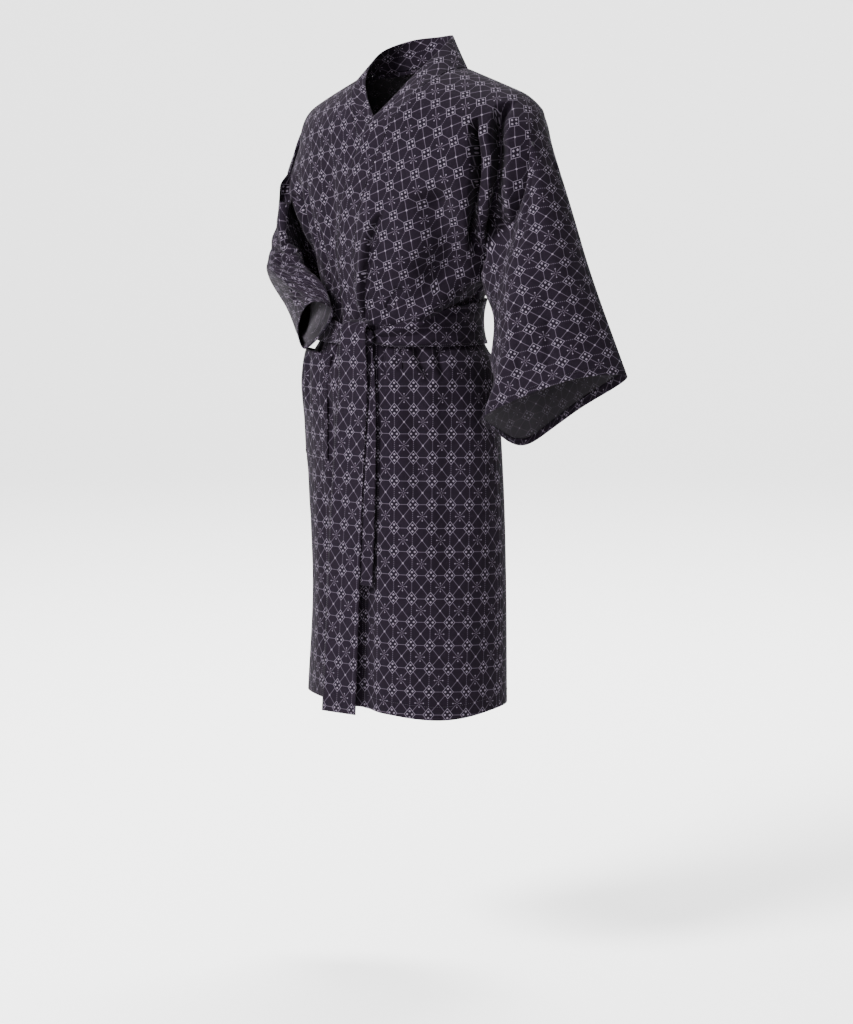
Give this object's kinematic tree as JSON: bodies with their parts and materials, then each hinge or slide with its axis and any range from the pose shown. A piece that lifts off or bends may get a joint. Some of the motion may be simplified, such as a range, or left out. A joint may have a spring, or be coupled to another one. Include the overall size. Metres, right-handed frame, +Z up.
{
  "type": "happi coat",
  "caption": "Knee-length cotton happi coat with wide sleeves and a crossed neck band, worn closed and tied with its cloth belt; hollow, patch pocket on the right hip.",
  "frame": {"origin": "between the shoulders at the height of the neck point, on the upright line through the neck, where the worn garment is held", "axes": "+Z up, -Y out of the front, +X to the wearer's left"},
  "size_m": [0.7014, 0.2697, 1.0857],
  "materials": {
    "cloth": "matt printed cotton",
    "belt_cloth": "matt printed cotton"
  },
  "bodies": {
    "root": {"front_left": "cloth", "front_right": "cloth", "back": "cloth", "sleeve_left": "cloth", "sleeve_right": "cloth", "neck_band": "cloth", "pocket_right": "cloth", "belt": "belt_cloth", "belt_knot": "belt_cloth", "belt_end_long": "belt_cloth", "belt_end_short": "belt_cloth"}
  },
  "joints": []
}
